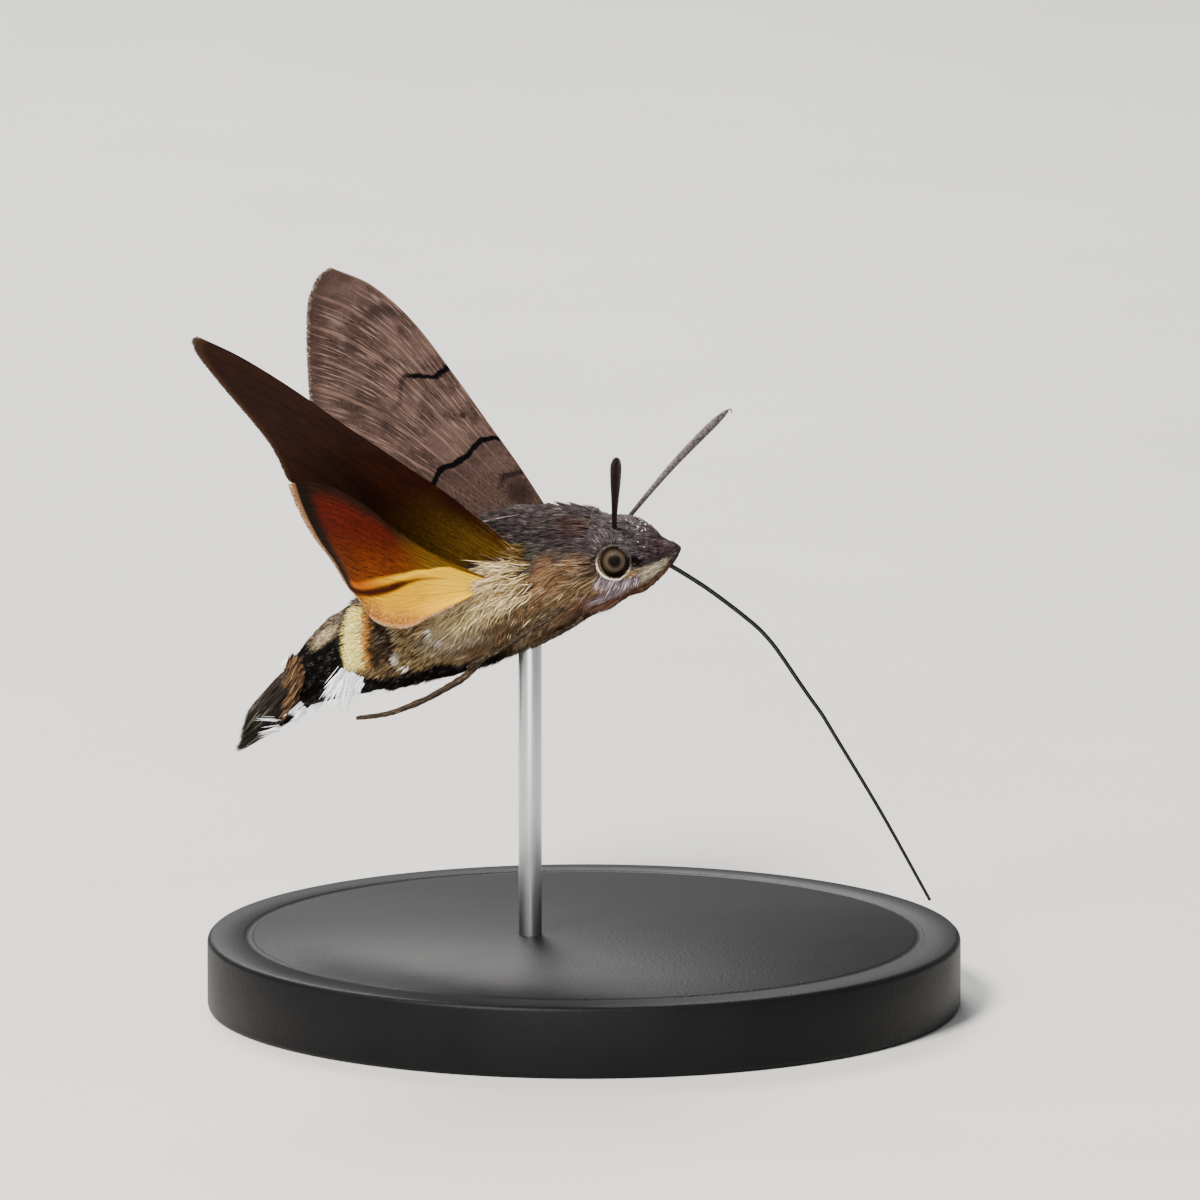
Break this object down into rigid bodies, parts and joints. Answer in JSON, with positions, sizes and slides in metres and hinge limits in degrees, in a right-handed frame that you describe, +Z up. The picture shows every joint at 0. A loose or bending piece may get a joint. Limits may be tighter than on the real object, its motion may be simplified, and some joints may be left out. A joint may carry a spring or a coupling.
{
  "type": "hummingbird hawk moth model on a display stand",
  "caption": "Life-size hovering hawk moth with raised wings, long proboscis and tail fan, held over a flat round base by a rod.",
  "frame": {"origin": "centre of the base's underside, where it rests", "axes": "+X the way the moth faces as seen from its right side, +Y away from that side, +Z up"},
  "size_m": [0.0423, 0.042, 0.0392],
  "materials": {
    "body_fur": "short dense hair-like scales",
    "pale_band": "cream scales",
    "black_fur": "black scales with white side tufts",
    "horn": "ringed, matt",
    "eye": "glossy compound eye",
    "forewing": "fine grey-brown scales",
    "hindwing": "fine orange scales",
    "leg": "olive-brown scales",
    "dark_fur": "dark brown scales",
    "proboscis": "smooth black",
    "base": "satin black disc",
    "rod": "brushed steel"
  },
  "bodies": {
    "root": {"abdomen_front": "body_fur", "abdomen_middle": "pale_band", "abdomen_rear": "black_fur", "antenna_left": "horn", "antenna_right": "horn", "eye_left": "eye", "eye_right": "eye", "forewing_left": "forewing", "forewing_right": "forewing", "head": "body_fur", "hindwing_left": "hindwing", "hindwing_right": "hindwing", "leg_fore_left": "leg", "leg_fore_right": "leg", "leg_hind_left": "leg", "leg_hind_right": "leg", "leg_mid_left": "leg", "leg_mid_right": "leg", "palp_left": "dark_fur", "palp_right": "dark_fur", "proboscis_base": "proboscis", "proboscis_end": "proboscis", "stand_base": "base", "stand_rod": "rod", "tail_fan": "black_fur", "thorax": "body_fur"}
  },
  "joints": []
}
